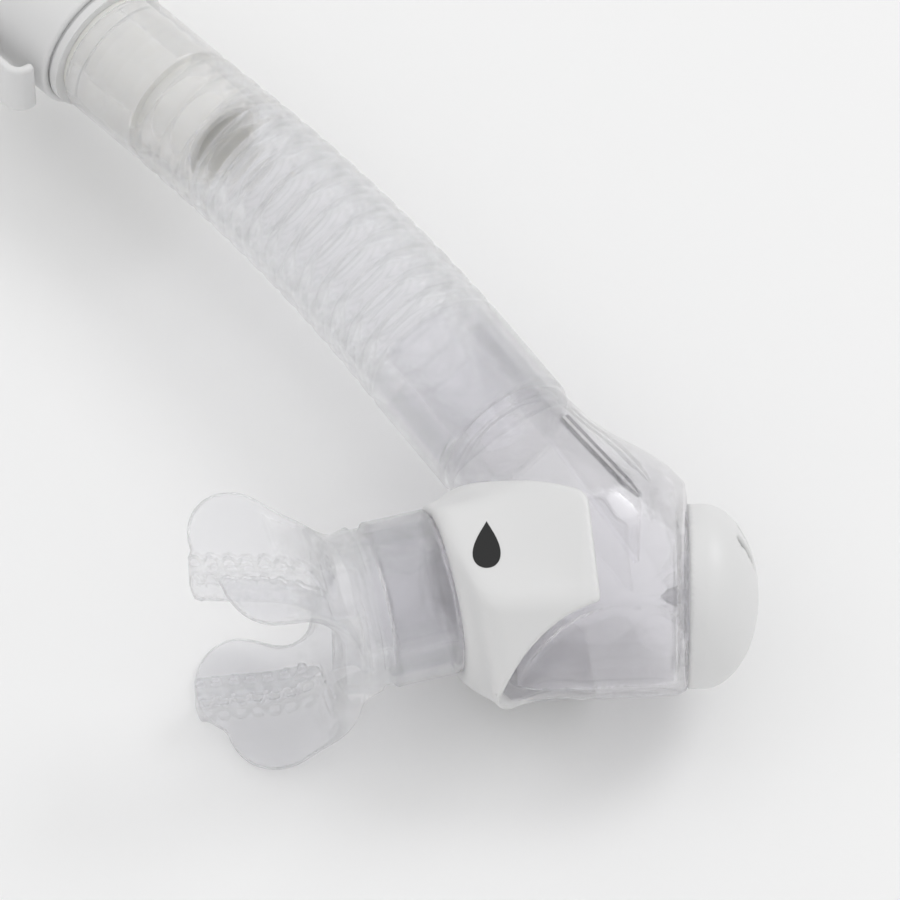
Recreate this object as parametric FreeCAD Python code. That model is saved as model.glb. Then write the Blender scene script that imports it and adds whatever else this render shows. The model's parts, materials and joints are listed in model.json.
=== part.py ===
import FreeCAD, Part
import math
import os

# Diving snorkel lying on its side, as it is put down on a flat surface.
# +X runs along the rigid tube towards its top, +Y is the side the mouthpiece points
# to, +Z is up from the surface.  The parts are drawn with +X along the chamber's own
# tube axis, about the point where it meets the axis of the mouthpiece.  They are
# turned and moved at the end, so that the rigid tube lies along X and the origin is
# the middle of the footprint, on the surface.  Millimetres and degrees.

V = FreeCAD.Vector
ORIGIN = V(0, 0, 0)
UP = V(0, 0, 1)

# ---------------------------------------------------------------- overall sizes
PORT_ANGLE = 71.5        # from the tube axis to the mouthpiece axis
BEND_ANGLE = 9.5         # set of the flexible hose towards the mouth side
BEND_START = 62.0        # along the centreline, from the crossing of the axes
BEND_END = 130.0
TUBE_LENGTH = 205.0      # rigid upper tube
CLEAR = 0.15             # gap between parts that are assembled over each other
RUNNING = 0.05           # radial gap of parts that turn or slide on each other

# ---------------------------------------------------------------- chamber
WALL = 2.0               # clear polycarbonate
NECK_ROOT_R = 18.2
NECK_TOP_R = 14.6
NECK_TOP = 34.0          # where the hose stops
SPIGOT_R = 13.3
SPIGOT_END = 60.0
SPIGOT_ROOT = 28.0
HUB_R = 19.8             # body of the chamber where the axes cross
PORT_R = 14.5            # spigot that the mouthpiece is stretched over
PORT_SHOULDER_R = 15.3
PORT_SHOULDER = 32.0
PORT_END = 46.0
PORT_BOSS_R = 4.0        # moulded locating disc on the spigot
PORT_BOSS_H = 0.35
PORT_ROOT = 24.0         # the spigot starts inside the port's cone
BOSS_AT = 40.5           # middle of the disc, along the mouthpiece axis
PURGE_ANGLE = 236.0
PURGE_SEAT_AT = V(-19.5, -10.4, 0)
PURGE_BODY_R = 18.3
PURGE_RIM_R = 16.4       # rebate that the cap is pushed over
PURGE_BORE_R = 14.0
PURGE_DEPTH = 24.0
KEEL_START = V(-20.0, 36.5, 0)
KEEL_END = V(-39.0, 5.5, 0)
KEEL_SLOPE = 58.0        # of each window, up from the plane of the axes
SUMP_HALF = 18.5
SUMP_BACK = V(-33.7, -0.8, 0)     # where the sump meets the purge housing
SUMP_HEART = (V(-6, -8, 0), V(6, 14, 0))
FAR = 160.0              # beyond every part, for half spaces

# ---------------------------------------------------------------- white body cover
COVER_WALL = 1.8
COVER_END = 33.0
COVER_EDGE_AT = V(6.5, 0.5, 0)
COVER_EDGE_ANGLE = 62.0
COVER_WINDOW_X = -19.5

# ---------------------------------------------------------------- divider
DIVIDER_T = 1.0
DIVIDER_OFFSET = 8.9     # from the tube axis, away from the mouth
DIVIDER_START = 1.0
DIVIDER_END = 58.0
DIVIDER_TAPER_END = 30.0
DIVIDER_ROOM = 1.5       # free of the neck's wall at the wide end

# ---------------------------------------------------------------- mouthpiece
SLEEVE_WALL = 2.1
SLEEVE_END = 49.0
BAND_GROOVE = 3.0
BAND_DEPTH = 0.7
NECK_END = 55.0
LIP_T = 2.2
LIP_CORNER = 17.0        # outside radius where the lip turns into a wing
LOBE_R = 11.5
MOUTH_HALF = 27.6        # outside of the wings, across the mouth
WING_END = 80.5
WING_HALF = 16.0         # wings, from the bite plane to the gum edge
BITE_T = 4.6
BITE_DEPTH = 12.5
BITE_START = 61.0
BITE_END = 83.5
MOUTH_BORE_HALF = 13.0
MOUTH_BORE_R = 7.0
NECK_HALF = V(0, 10.5, 20.0)      # half of the neck's oval where it meets the lip
NECK_CORNER = 9.5
BORE_LAP = 4.0           # where the round bore turns into the flat one

# ---------------------------------------------------------------- purge valve
SEAT_T = 1.4
SEAT_HUB_R = 3.4
SPOKES = 6
SPOKE_W = 1.6
SEAT_RING_R = 10.0
STEM_R = 1.4
FLAP_R = 11.4
FLAP_T = 0.9
FLAP_TRAVEL = 1.5
SEAL_R = 0.7
SEAL_LAND = 2.0          # depth of the step that holds the seal
SEAT_SKIRT = 3.0         # of the seat inside the housing's bore
SEAT_SKIRT_WALL = 1.85
FLAP_GAP = 0.05
BULB_H = 0.8             # retaining bulb, over the stem
BULB_LENGTH = 3.5
BULB_SLOPE = 2.0
PURGE_CAP_H = 11.2
PURGE_CAP_WALL = 1.7
PURGE_CAP_SKIRT = 3.0
PURGE_CAP_BAND = 3.0     # straight part before the dome
PURGE_ROOM = 1.4         # ledge that holds the seat down
VENTS = 7
VENT_W = 2.2
VENT_STEP = 24.0         # degrees between vents
VENT_FROM = V(2.6, 0, 6.0)
VENT_TO_R = 14.6

# ---------------------------------------------------------------- hose
HOSE_R = 15.5
HOSE_FLOOR = 1.1         # wall left under the grooves
COLLAR_LENGTH = 24.0
RIB_PITCH = 5.85
RIBS = 14
RIB_DEPTH = 1.9
GROOVE_FLOOR = 1.3       # length of a groove's flat floor
GROOVE_FLANK = 0.8
RIBS_GAP = 2.0           # from the lower collar to the first groove
UPPER_COLLAR = 22.0
UPPER_R = 13.9          # the hose tapers to this at the upper collar
LIP_STEP = 0.5           # chamfer of the collars' open ends

# ---------------------------------------------------------------- rigid tube
TUBE_R = 12.4
TUBE_WALL = 1.6
NOSE_R = 10.5            # reduced end that reaches under the last ribs
NOSE_LENGTH = 14.8
NOSE_LAP = 12.0          # of the nose under the ribs
BARB_H = 0.4
BARBS = 3
BARB_PITCH = 5.2
BARB_LENGTH = 2.6

# ---------------------------------------------------------------- strap keeper
KEEPER_AT = 47.4         # from the tube's lower end to the keeper's middle
KEEPER_LENGTH = 24.0
KEEPER_WALL = 1.6
KEEPER_RIM = 0.6         # height of the two end rims
KEEPER_RIM_W = 1.8
CLIP_WALL = 1.9
CLIP_WIDTH = 19.0
STRAP_GAP = 5.0          # room for the strap, between the ring and the hook
STRAP_ENTRY = 1.8        # gap at the hook's tip
CLIP_HEIGHT = 13.0

# ---------------------------------------------------------------- dry top
TOP_R = 27.5
TOP_WALL = 1.8
TOP_LENGTH = 52.0
SOCKET_LENGTH = 14.0
SOCKET_WALL = 2.6
FLOOR_T = 2.4
NOZZLE_R = 7.0
NOZZLE_WALL = 1.4
NOZZLE_H = 5.0
NOZZLE_AT = -6.0         # from the axis, away from the mouth side
PIVOT_AT = 5.4
PIVOT_H = 11.0
BARREL_R = 2.4
OPEN_ANGLE = 14.0        # of the valve pad at rest, from its seat
ARM_HALF = 5.0
PIN_R = 1.2
PIN_LENGTH = 25.0
EAR_T = 2.4
ARM_T = 1.6
PAD_R = 8.6
PAD_T = 1.4
FLOAT_R = 8.4
FLOAT_LENGTH = 26.0
FLOAT_AT = 14.0
FLOAT_WALL = 0.9
INLETS = 6
INLET_W = 6.0
INLET_H = 9.0
SCREW_R = 1.1
SCREW_HEAD_R = 2.0
SCREW_LENGTH = 9.0
SCREW_AT = TOP_R - 3.9      # the screw bosses stay joined to the cap
SCREW_BOSS_R = 2.8
DRAIN_R = 1.6
DRAINS = 8
DECK_T = 1.4
EAR_HALF = 3.0
TOP_GROOVE = (-8.0, -6.2)         # seal groove in the socket
TOP_SEAL_R = 0.78
CAP_FILLET = 6.0
INLET_SILL = 2.0
SCREW_HEAD_H = 1.5
SCREW_SLOT_W = 0.7
FLOAT_LID_T = 1.0
FLOAT_PLUG = 1.2


def along(angle, distance=1.0):
    """A vector in the plane of the axes."""
    a = math.radians(angle)
    return V(math.cos(a), math.sin(a), 0) * distance


def placed(shape, angle, origin=ORIGIN):
    """Turn a shape drawn along +X to an angle in the plane, and move it there."""
    out = shape.copy()
    out.rotate(ORIGIN, UP, angle)
    out.translate(origin)
    return out


def rod(radius, start, end, y=0.0, z=0.0):
    """A cylinder along +X."""
    return Part.makeCylinder(radius, end - start, V(start, y, z), V(1, 0, 0))


def cone(radius_a, radius_b, start, end):
    """A cone along +X."""
    return Part.makeCone(radius_a, radius_b, end - start, V(start, 0, 0), V(1, 0, 0))


def pipe(outer, inner, start, end, y=0.0, z=0.0):
    return rod(outer, start, end, y, z).cut(rod(inner, start - 1, end + 1, y, z))


def block(x0, x1, y0, y1, z0, z1):
    return Part.makeBox(x1 - x0, y1 - y0, z1 - z0, V(x0, y0, z0))


def ring(major, minor, x):
    """A torus round the X axis."""
    return Part.makeTorus(major, minor, V(x, 0, 0), V(1, 0, 0))


def fuse(shapes):
    out = shapes[0]
    for shape in shapes[1:]:
        out = out.fuse(shape)
    return out.removeSplitter()


def prism(points, z0, z1):
    wire = Part.makePolygon([V(p.x, p.y, z0) for p in points + points[:1]])
    return Part.Face(wire).extrude(V(0, 0, z1 - z0))


def turned(points):
    """Revolve a profile of (x, radius) points about the X axis."""
    wire = Part.makePolygon([V(x, r, 0) for x, r in points + points[:1]])
    return Part.Face(wire).revolve(ORIGIN, V(1, 0, 0), 360)


# ================================================================ chamber
def keel_cut(grow):
    """Two half spaces beyond the windows that meet in the keel line."""
    line = KEEL_END - KEEL_START
    angle = math.degrees(math.atan2(line.y, line.x))
    start = KEEL_START + V(line.y, -line.x, 0).normalize() * grow
    cuts = []
    for side in (1, -1):
        slab = Part.makeBox(FAR, FAR, FAR, V(-FAR / 2, -FAR, 0))
        slab.rotate(ORIGIN, V(1, 0, 0), -(90.0 - KEEL_SLOPE))
        if side < 0:
            slab = slab.mirror(ORIGIN, UP)
        cuts.append(placed(slab, angle, start))
    return cuts


def chamber_body(grow):
    """The chamber's outer form, grown by a distance all round."""
    hub = Part.makeSphere(HUB_R + grow)
    port = placed(cone(HUB_R + grow, PORT_SHOULDER_R + grow, 0, PORT_SHOULDER + grow), PORT_ANGLE)
    purge_start = PURGE_SEAT_AT - along(PURGE_ANGLE, PURGE_DEPTH)
    purge = placed(rod(PURGE_BODY_R + grow, 0, PURGE_DEPTH), PURGE_ANGLE, purge_start)
    neck = cone(NECK_ROOT_R + grow, NECK_TOP_R + grow, 0, NECK_TOP)
    shoulder = along(PORT_ANGLE, PORT_SHOULDER - 1.0) + along(PORT_ANGLE + 90.0, PORT_SHOULDER_R + grow)
    line = (KEEL_END - KEEL_START).normalize()
    out = V(-line.y, line.x, 0)
    keel = [KEEL_START - (out + line) * grow, KEEL_END - (out - line) * grow]
    sump = prism([shoulder] + keel + [SUMP_BACK] + list(SUMP_HEART), -SUMP_HALF - grow, SUMP_HALF + grow)
    for cut in keel_cut(grow):
        sump = sump.cut(cut)
    return fuse([hub, port, purge, neck, sump])


def purge_placed(shape):
    """Place a shape drawn along +X from the purge valve's seat."""
    return placed(shape, PURGE_ANGLE, PURGE_SEAT_AT)


def beyond_purge(start):
    """Everything past a plane across the purge valve."""
    return purge_placed(block(start, FAR, -FAR, FAR, -FAR, FAR))


def make_chamber_shell():
    """Clear hub with the hose spigot, the port, the sump and the purge housing."""
    spigot = rod(SPIGOT_R, SPIGOT_ROOT, SPIGOT_END)
    port = placed(rod(PORT_R, PORT_ROOT, PORT_END), PORT_ANGLE)
    boss = Part.makeCylinder(PORT_BOSS_R, PORT_BOSS_H + PORT_R, V(BOSS_AT, 0, 0), UP)
    outer = fuse([chamber_body(0.0), spigot, port, placed(boss, PORT_ANGLE)])
    rebate = pipe(PURGE_BODY_R + CLEAR, PURGE_RIM_R, -PURGE_CAP_SKIRT - CLEAR, 1.0)
    outer = outer.cut(beyond_purge(0.0)).cut(purge_placed(rebate))
    inner = chamber_body(-WALL).cut(beyond_purge(-PURGE_CAP_SKIRT - CLEAR - WALL))
    tube_bore = rod(SPIGOT_R - WALL, 0, SPIGOT_END + 1.0)
    port_bore = placed(rod(PORT_R - WALL, 0, PORT_END + 1.0), PORT_ANGLE)
    purge_bore = purge_placed(rod(PURGE_BORE_R, -PURGE_DEPTH / 2, 1.0))
    step = purge_placed(rod(PURGE_BORE_R + 2 * SEAL_R + 0.1, -SEAL_LAND, 1.0))
    return outer.cut(inner).cut(fuse([tube_bore, port_bore])).cut(purge_bore).cut(step)


def make_body_cover():
    """White shell over the mouth side of the chamber, open at the windows."""
    shell = chamber_body(CLEAR + COVER_WALL).cut(chamber_body(CLEAR))
    mouth_side = placed(block(0, FAR, -FAR, FAR, -FAR, FAR), COVER_EDGE_ANGLE, COVER_EDGE_AT)
    shell = shell.common(mouth_side).common(block(COVER_WINDOW_X, FAR, -FAR, FAR, -FAR, FAR))
    beyond_collar = placed(block(COVER_END, FAR, -FAR, FAR, -FAR, FAR), PORT_ANGLE)
    bore = placed(rod(PORT_SHOULDER_R + CLEAR, 0, COVER_END + 1.0), PORT_ANGLE)
    neck = cone(NECK_ROOT_R + CLEAR, NECK_TOP_R + CLEAR, 0, NECK_TOP)
    solids = shell.cut(beyond_collar).cut(bore).cut(neck).Solids
    return max(solids, key=lambda s: s.Volume)


def make_chamber_divider():
    """Flat wall that parts the drain channel from the breathing channel."""
    wide = math.sqrt((NECK_ROOT_R - WALL) ** 2 - DIVIDER_OFFSET ** 2) - DIVIDER_ROOM
    inside = SPIGOT_R - WALL
    narrow = math.sqrt(inside ** 2 - (DIVIDER_OFFSET + DIVIDER_T) ** 2) - CLEAR
    y0 = -DIVIDER_OFFSET - DIVIDER_T
    outline = [(DIVIDER_START, wide), (DIVIDER_TAPER_END, narrow), (DIVIDER_END, narrow)]
    points = [V(x, y0, z) for x, z in outline] + [V(x, y0, -z) for x, z in reversed(outline)]
    wire = Part.makePolygon(points + points[:1])
    return Part.Face(wire).extrude(V(0, DIVIDER_T, 0))


# ================================================================ purge valve
def make_purge_seat():
    """Spoked plate that the flap closes on."""
    flange = pipe(PURGE_RIM_R - 0.4, SEAT_RING_R, 0, SEAT_T)
    skirt_r = PURGE_BORE_R - CLEAR
    skirt = pipe(skirt_r, skirt_r - SEAT_SKIRT_WALL, -SEAT_SKIRT, SEAT_T)
    hub = rod(SEAT_HUB_R, -SEAT_SKIRT, SEAT_T)
    spokes = []
    for k in range(SPOKES):
        spoke = block(-SPOKE_W, SEAT_T, -SPOKE_W / 2, SPOKE_W / 2, 0, PURGE_BORE_R - 1.0)
        spoke.rotate(ORIGIN, V(1, 0, 0), 360.0 * k / SPOKES)
        spokes.append(spoke)
    seat = fuse([flange, skirt, hub] + spokes)
    return purge_placed(seat.cut(rod(STEM_R + RUNNING, -SEAT_SKIRT - 1.0, SEAT_T + 1.0)))


def make_purge_seal():
    return purge_placed(ring(PURGE_BORE_R + SEAL_R + 0.05, SEAL_R, -SEAL_LAND / 2))


def make_purge_flap():
    """Silicone mushroom valve: disc, stem and retaining bulb."""
    face = SEAT_T + FLAP_GAP
    bulb = -SEAT_SKIRT - FLAP_TRAVEL - 0.3
    profile = [
        (face + FLAP_T, 0),
        (face + FLAP_T, FLAP_R - 1.0),
        (face + FLAP_T / 2, FLAP_R),
        (face, FLAP_R),
        (face, STEM_R),
        (bulb, STEM_R),
        (bulb, STEM_R + BULB_H),
        (bulb - BULB_SLOPE, STEM_R),
        (bulb - BULB_LENGTH, 0),
    ]
    return purge_placed(turned(profile))


def make_purge_cover():
    """White domed cap with vents on the side turned away from the windows."""
    h = PURGE_CAP_H
    band = PURGE_CAP_BAND
    outer = rod(PURGE_BODY_R, -PURGE_CAP_SKIRT, band)
    crown_r = (PURGE_BODY_R ** 2 + (h - band) ** 2) / (2 * (h - band))
    dome = Part.makeSphere(crown_r, V(h - crown_r, 0, 0)).common(rod(PURGE_BODY_R, band, h + 1.0))
    inner_r = PURGE_RIM_R + CLEAR
    hollow = rod(inner_r, -PURGE_CAP_SKIRT - 1.0, SEAT_T + CLEAR)
    room = rod(inner_r - PURGE_ROOM, 0, band)
    inner_dome = Part.makeSphere(crown_r - PURGE_CAP_WALL, V(h - crown_r, 0, 0))
    inner_dome = inner_dome.common(rod(inner_r - PURGE_ROOM, band - 0.01, h + 1.0))
    cap = fuse([outer, dome]).cut(hollow).cut(room).cut(inner_dome)
    for k in range(VENTS):
        vent = block(VENT_FROM.x, h - 1.5, -VENT_W / 2, VENT_W / 2, VENT_FROM.z, VENT_TO_R)
        vent.rotate(ORIGIN, V(1, 0, 0), -90.0 + VENT_STEP * (k - (VENTS - 1) / 2))
        cap = cap.cut(vent)
    return purge_placed(cap)


# ================================================================ mouthpiece
def rounded_bar(x0, x1, half_y, half_z, radius):
    """A bar along +X with its four long edges rounded."""
    bar = block(x0, x1, -half_y, half_y, -half_z, half_z)
    return bar.makeFillet(radius, [e for e in bar.Edges if e.BoundBox.XLength > (x1 - x0) / 2])


def arch_form(start, end, half_y, half_z, radius):
    """A block along +X whose two cross edges at the start are rounded."""
    form = block(start, end, -half_y, half_y, -half_z, half_z)
    edges = [e for e in form.Edges if e.BoundBox.XMax < start + 0.1 and e.BoundBox.YLength > half_y]
    return form.makeFillet(radius, edges)


def make_mouthpiece():
    """Silicone mouthpiece: sleeve, neck, curved lip with two wings, two bite tabs."""
    sleeve_r = PORT_R + SLEEVE_WALL
    start = COVER_END + CLEAR
    sleeve = rod(sleeve_r, start, SLEEVE_END)
    flare = rounded_bar(NECK_END, NECK_END + 1.0, NECK_HALF.y, NECK_HALF.z, NECK_CORNER)
    oval = min(flare.Faces, key=lambda f: f.CenterOfMass.x).OuterWire
    circle = Part.Wire(Part.makeCircle(sleeve_r - 0.4, V(SLEEVE_END - 0.5, 0, 0), V(1, 0, 0)))
    neck = Part.makeLoft([circle, oval], True, False)
    half = MOUTH_HALF
    lip_start = NECK_END - 0.5
    lip = arch_form(lip_start, WING_END, WING_HALF, half, LIP_CORNER)
    hollow = arch_form(lip_start + LIP_T, WING_END + LIP_T, 2 * WING_HALF, half - LIP_T, LIP_CORNER - LIP_T)
    middle = WING_END - LOBE_R
    lobes = [block(NECK_END - 1, middle, -NECK_HALF.y, NECK_HALF.y, -2 * half, 2 * half)]
    for side in (1, -1):
        lobe = Part.makeCylinder(LOBE_R, 4 * half, V(middle, side * (WING_HALF - LOBE_R), -2 * half), UP)
        lobes.append(lobe)
    body = fuse([sleeve, neck, lip.cut(hollow).common(fuse(lobes))])
    for side in (1, -1):
        z0, z1 = sorted((side * (half - LIP_T / 2), side * (half - LIP_T - BITE_DEPTH)))
        body = body.fuse(block(BITE_START, BITE_END, -BITE_T / 2, BITE_T / 2, z0, z1))
    body = body.cut(rod(PORT_R + RUNNING, start - 1, PORT_END + 0.2))
    body = body.cut(rod(PORT_R - WALL, PORT_END - 1.0, NECK_END - BORE_LAP))
    body = body.cut(rounded_bar(NECK_END - BORE_LAP - 1.0, WING_END, MOUTH_BORE_R, MOUTH_BORE_HALF,
                                MOUTH_BORE_R - 0.5))
    body = body.cut(pipe(sleeve_r + 1, sleeve_r - BAND_DEPTH, PORT_END - BAND_GROOVE, PORT_END))
    recess = Part.makeCylinder(PORT_BOSS_R + CLEAR, PORT_R + PORT_BOSS_H + CLEAR, V(BOSS_AT, 0, 0), UP)
    return placed(body.cut(recess).removeSplitter(), PORT_ANGLE)


# ================================================================ hose and tube
def centreline(s):
    """Point and direction angle of the centreline at a distance from the crossing."""
    length = BEND_END - BEND_START
    t = min(max((s - BEND_START) / length, 0.0), 1.0)
    angle = math.radians(BEND_ANGLE) * t
    radius = length / math.radians(BEND_ANGLE)
    past = max(s - BEND_END, 0.0)
    x = min(s, BEND_START) + radius * math.sin(angle) + past * math.cos(angle)
    y = radius * (1 - math.cos(angle)) + past * math.sin(angle)
    return V(x, y, 0), math.degrees(angle)


def hose_circle(s, radius):
    point, angle = centreline(s)
    return Part.Wire(Part.makeCircle(radius, point, along(angle)))


HOSE_START = NECK_TOP + CLEAR
RIBS_START = HOSE_START + COLLAR_LENGTH + RIBS_GAP
RIBS_END = RIBS_START + RIBS * RIB_PITCH
HOSE_END = RIBS_END + UPPER_COLLAR
TUBE_START = RIBS_END - NOSE_LAP
TUBE_END = TUBE_START + TUBE_LENGTH


def hose_radius(s):
    """Radius over the ribs, which taper from the lower collar to the upper one."""
    t = min(max((s - RIBS_START) / (RIBS_END - RIBS_START), 0.0), 1.0)
    return HOSE_R + (UPPER_R - HOSE_R) * t


def make_flexible_hose():
    """Corrugated silicone hose with a smooth collar at each end."""
    outer = [(HOSE_START, HOSE_R - LIP_STEP), (HOSE_START + 1.0, HOSE_R), (RIBS_START - GROOVE_FLANK, HOSE_R)]
    for k in range(RIBS):
        s = RIBS_START + k * RIB_PITCH
        crest = hose_radius(s)
        outer += [(s, crest - RIB_DEPTH), (s + GROOVE_FLOOR, crest - RIB_DEPTH)]
        outer += [(s + GROOVE_FLOOR + GROOVE_FLANK, crest), (s + RIB_PITCH - GROOVE_FLANK, crest)]
    outer += [(RIBS_END, UPPER_R - RIB_DEPTH / 2), (RIBS_END + RIBS_GAP, UPPER_R)]
    outer += [(HOSE_END - 1.0, UPPER_R), (HOSE_END, UPPER_R - LIP_STEP)]
    skin = Part.makeLoft([hose_circle(s, r) for s, r in outer], True, True)
    lower_bore = SPIGOT_R + RUNNING
    upper_bore = TUBE_R + RUNNING
    floor = RIB_DEPTH + HOSE_FLOOR
    inside = [(HOSE_START - 1.0, lower_bore), (SPIGOT_END + 1.0, lower_bore)]
    for k in range(1, RIBS):
        s = RIBS_START + k * RIB_PITCH
        inside.append((s, hose_radius(s) - floor))
    inside.append((RIBS_END + 1.0, UPPER_R - floor))
    barb_room = TUBE_R + BARB_H + 0.1
    shoulder = TUBE_START + NOSE_LENGTH
    barbs_end = shoulder + BARBS * BARB_PITCH
    inside += [(shoulder - 0.2, barb_room), (barbs_end, barb_room)]
    inside += [(barbs_end + 0.8, upper_bore), (HOSE_END + 1.0, upper_bore)]
    bore = Part.makeLoft([hose_circle(s, r) for s, r in inside], True, True)
    return skin.cut(bore)


def tube_placed(shape):
    """Place a shape drawn along +X from the rigid tube's lower end."""
    end, angle = centreline(TUBE_END)
    return placed(shape, angle, end - along(angle, TUBE_LENGTH))


def make_upper_tube():
    """Rigid tube with a stepped, barbed end for the hose's upper collar."""
    barbs = []
    for k in range(BARBS):
        x = NOSE_LENGTH + k * BARB_PITCH
        barbs.append(cone(TUBE_R, TUBE_R + BARB_H, x, x + BARB_LENGTH))
    tube = fuse([rod(NOSE_R, 0, NOSE_LENGTH), rod(TUBE_R, NOSE_LENGTH, TUBE_LENGTH)] + barbs)
    tube = tube.cut(rod(NOSE_R - TUBE_WALL, -1, NOSE_LENGTH + TUBE_WALL))
    return tube_placed(tube.cut(rod(TUBE_R - TUBE_WALL, NOSE_LENGTH + TUBE_WALL, TUBE_LENGTH + 1)))


# ================================================================ strap keeper
def make_keeper_sleeve():
    """Bush that slides along the tube and carries the clip between two rims."""
    bore = TUBE_R + RUNNING
    start = KEEPER_AT - KEEPER_LENGTH / 2
    end = KEEPER_AT + KEEPER_LENGTH / 2
    body = pipe(bore + KEEPER_WALL, bore, start, end)
    rim = bore + KEEPER_WALL + KEEPER_RIM
    rims = [pipe(rim, bore, start, start + KEEPER_RIM_W), pipe(rim, bore, end - KEEPER_RIM_W, end)]
    return tube_placed(fuse([body] + rims))


def make_strap_clip():
    """Ring with a hook beside the tube that a mask strap is pushed into."""
    bore = TUBE_R + RUNNING + KEEPER_WALL + RUNNING
    outer = bore + CLIP_WALL
    x0 = KEEPER_AT - CLIP_WIDTH / 2
    x1 = KEEPER_AT + CLIP_WIDTH / 2
    half = CLIP_HEIGHT / 2
    reach = outer + STRAP_GAP
    band = pipe(outer, bore, x0, x1)
    root = block(x1 - CLIP_WALL, x1, bore + 0.2, reach + CLIP_WALL, -half, half)
    front = block(x0, x1, reach, reach + CLIP_WALL, -half, half)
    tip = block(x0, x0 + CLIP_WALL, outer + STRAP_ENTRY, reach + CLIP_WALL, -half, half)
    clip = fuse([band, root, front, tip])
    return tube_placed(clip.cut(rod(bore, x0 - 1, x1 + 1)))


# ================================================================ dry top
def top_placed(shape):
    """Place a shape drawn along +X from the rigid tube's upper end."""
    end, angle = centreline(TUBE_END)
    return placed(shape, angle, end)


def make_top_base():
    """Socket on the tube, floor with the valve nozzle, and the pivot's ears."""
    bore = TUBE_R + CLEAR
    floor_top = FLOOR_T + NOZZLE_H
    socket = pipe(bore + SOCKET_WALL, bore, -SOCKET_LENGTH, FLOOR_T)
    floor = pipe(TOP_R - TOP_WALL - CLEAR, bore, 0, FLOOR_T)
    deck = rod(bore + 0.5, FLOOR_T - DECK_T, FLOOR_T)
    nozzle = rod(NOZZLE_R + NOZZLE_WALL, FLOOR_T - DECK_T, floor_top, NOZZLE_AT)
    ears = []
    for side in (1, -1):
        z0, z1 = sorted((side * PIN_LENGTH / 2, side * (PIN_LENGTH / 2 - EAR_T)))
        y0 = PIVOT_AT - EAR_HALF
        ears.append(block(FLOOR_T - DECK_T, PIVOT_H + EAR_HALF, y0, PIVOT_AT + EAR_HALF, z0, z1))
    base = fuse([socket, floor, deck, nozzle] + ears)
    airway = rod(NOZZLE_R, 0, floor_top + 1.0, NOZZLE_AT).common(rod(bore - 1.0, 0, floor_top + 1.0))
    pin = Part.makeCylinder(PIN_R + 0.02, PIN_LENGTH + 2, V(PIVOT_H, PIVOT_AT, -PIN_LENGTH / 2 - 1), UP)
    groove = pipe(bore + 2 * TOP_SEAL_R + 0.1, bore - 0.1, *TOP_GROOVE)
    base = base.cut(airway).cut(pin).cut(groove)
    for side in (1, -1):
        base = base.cut(rod(SCREW_R + RUNNING, -1, FLOOR_T + 1, 0, side * SCREW_AT))
    for k in range(DRAINS):
        drain = rod(DRAIN_R, -1, FLOOR_T + 1, 0, SCREW_AT - 1.0)
        drain.rotate(ORIGIN, V(1, 0, 0), 360.0 / DRAINS * (k + 0.5))
        base = base.cut(drain)
    return top_placed(base)


def make_top_seal():
    middle = sum(TOP_GROOVE) / 2
    return top_placed(ring(TUBE_R + CLEAR + TOP_SEAL_R + 0.03, TOP_SEAL_R, middle))


def make_top_cap():
    """Splash cap with air inlets round its foot."""
    cap = rod(TOP_R, 0, TOP_LENGTH)
    cap = cap.makeFillet(CAP_FILLET, [e for e in cap.Edges if e.BoundBox.XMin > TOP_LENGTH - 0.1])
    room_end = TOP_LENGTH - TOP_WALL
    hollow = rod(TOP_R - TOP_WALL, -1, room_end)
    end_edges = [e for e in hollow.Edges if e.BoundBox.XMin > room_end - 0.1]
    cap = cap.cut(hollow.makeFillet(CAP_FILLET - TOP_WALL, end_edges))
    for side in (1, -1):
        boss = rod(SCREW_BOSS_R, FLOOR_T + 0.02, FLOOR_T + SCREW_LENGTH, 0, side * SCREW_AT)
        cap = cap.fuse(boss.common(rod(TOP_R - 0.5, 0, TOP_LENGTH)))
    sill = FLOOR_T + INLET_SILL
    for k in range(INLETS):
        inlet = block(sill, sill + INLET_H, -INLET_W / 2, INLET_W / 2, TOP_R / 2, TOP_R + 1)
        inlet.rotate(ORIGIN, V(1, 0, 0), 360.0 / INLETS * (k + 0.5))
        cap = cap.cut(inlet)
    for side in (1, -1):
        cap = cap.cut(rod(SCREW_R, -1, FLOOR_T + SCREW_LENGTH - 1.5, 0, side * SCREW_AT))
    return top_placed(cap)


def make_cap_screws():
    screws = []
    for side in (1, -1):
        at = side * SCREW_AT
        shank = rod(SCREW_R - 0.02, -0.02, FLOOR_T + SCREW_LENGTH - 2.5, 0, at)
        head = rod(SCREW_HEAD_R, -SCREW_HEAD_H, 0, 0, at)
        half_w = SCREW_SLOT_W / 2
        slot = block(-SCREW_HEAD_H - 1, -SCREW_HEAD_H / 2, -half_w, half_w, at - 3, at + 3)
        screws.append(top_placed(shank.fuse(head.cut(slot))))
    return Part.makeCompound(screws)


def make_float_pin():
    half = PIN_LENGTH / 2 - 0.1
    return top_placed(Part.makeCylinder(PIN_R, 2 * half, V(PIVOT_H, PIVOT_AT, -half), UP))


def tipped(shape):
    """Turn a shape drawn with the valve shut to its open rest position."""
    out = shape.copy()
    out.rotate(V(PIVOT_H, PIVOT_AT, 0), UP, OPEN_ANGLE)
    return out


PAD_X = FLOOR_T + NOZZLE_H + 0.05
FLOAT_X = PIVOT_H + BARREL_R + ARM_T


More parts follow.
